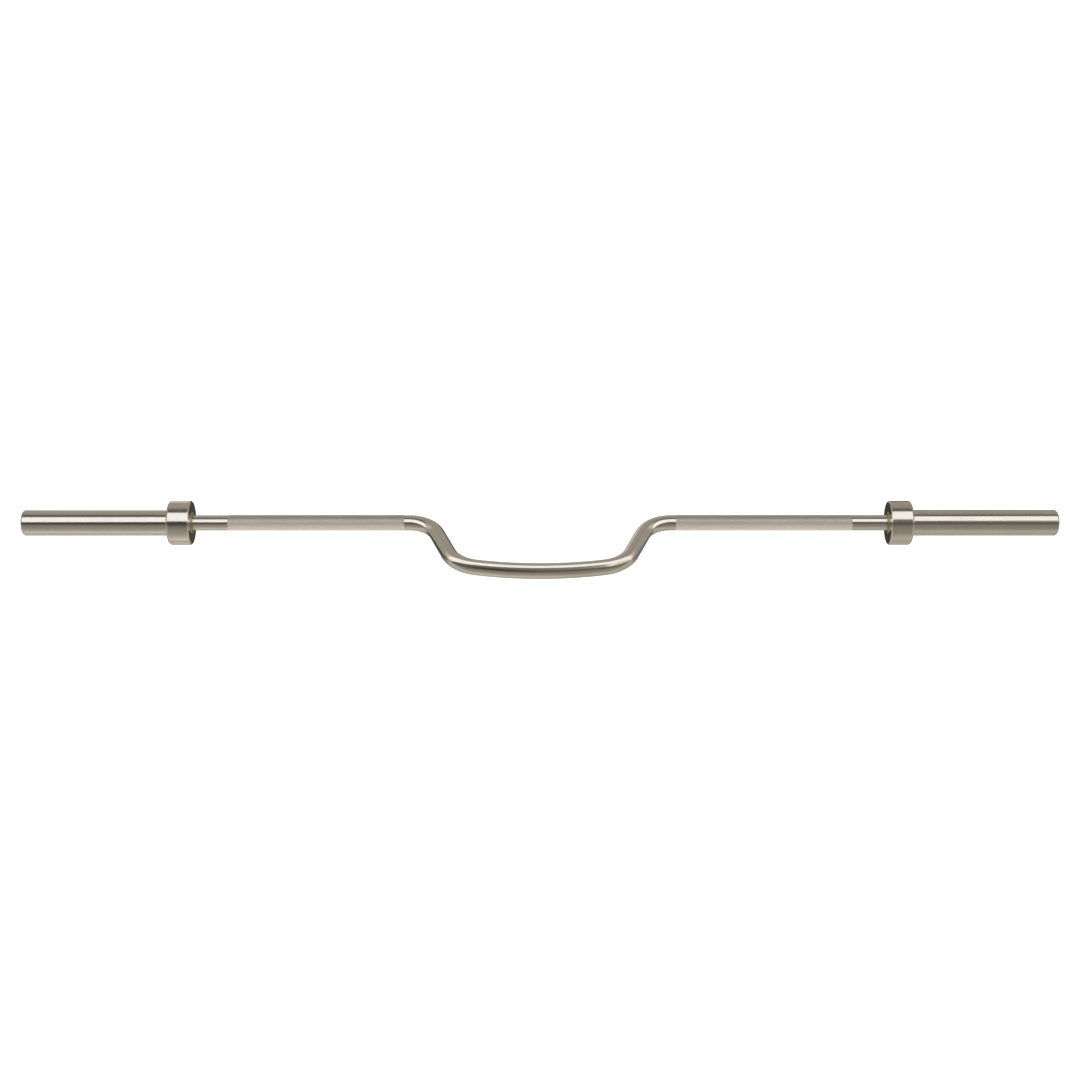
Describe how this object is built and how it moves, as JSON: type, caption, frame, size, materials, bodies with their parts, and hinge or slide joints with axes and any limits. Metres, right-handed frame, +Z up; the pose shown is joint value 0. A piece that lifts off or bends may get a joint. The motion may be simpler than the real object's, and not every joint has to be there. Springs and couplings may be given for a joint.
{
  "type": "curved seal row bar",
  "caption": "Cambered row bar with knurled straight grips either side of a deep U-shaped middle and a free-turning collared plate sleeve on each end.",
  "frame": {"origin": "on the floor, under the centre of the bar's bounding box as it lies on its two collars and the underside of its camber", "axes": "+X along the bar towards its right end, +Z up, the camber points towards -Y and tips down 10.08 degrees"},
  "size_m": [2.012, 0.2155, 0.0859],
  "materials": {
    "polished_steel": "polished warm nickel-chrome plate",
    "satin_steel": "turned satin",
    "spring_steel": "oiled spring steel",
    "bronze": "machined bearing bronze",
    "rubber": "black seal rubber"
  },
  "bodies": {
    "shaft": {"shaft": "polished_steel", "left_inner_thrust_washer": "satin_steel", "left_outer_thrust_washer": "satin_steel", "left_wave_washer": "spring_steel", "left_shaft_retaining_ring": "spring_steel", "right_inner_thrust_washer": "satin_steel", "right_outer_thrust_washer": "satin_steel", "right_wave_washer": "spring_steel", "right_shaft_retaining_ring": "spring_steel"},
    "left_sleeve": {"left_sleeve_tube": "polished_steel", "left_collar": "polished_steel", "left_inner_bushing": "bronze", "left_outer_bushing": "bronze", "left_end_cap": "satin_steel", "left_end_cap_seal": "rubber", "left_end_cap_retaining_ring": "spring_steel"},
    "right_sleeve": {"right_sleeve_tube": "polished_steel", "right_collar": "polished_steel", "right_inner_bushing": "bronze", "right_outer_bushing": "bronze", "right_end_cap": "satin_steel", "right_end_cap_seal": "rubber", "right_end_cap_retaining_ring": "spring_steel"}
  },
  "joints": [
    {"name": "left_sleeve_spin", "type": "hinge", "parent": "shaft", "child": "left_sleeve", "pos_m": [-0.845, 0.06477, 0.043], "axis": [1, 0, 0], "continuous": true},
    {"name": "right_sleeve_spin", "type": "hinge", "parent": "shaft", "child": "right_sleeve", "pos_m": [0.845, 0.06477, 0.043], "axis": [1, 0, 0], "continuous": true}
  ]
}
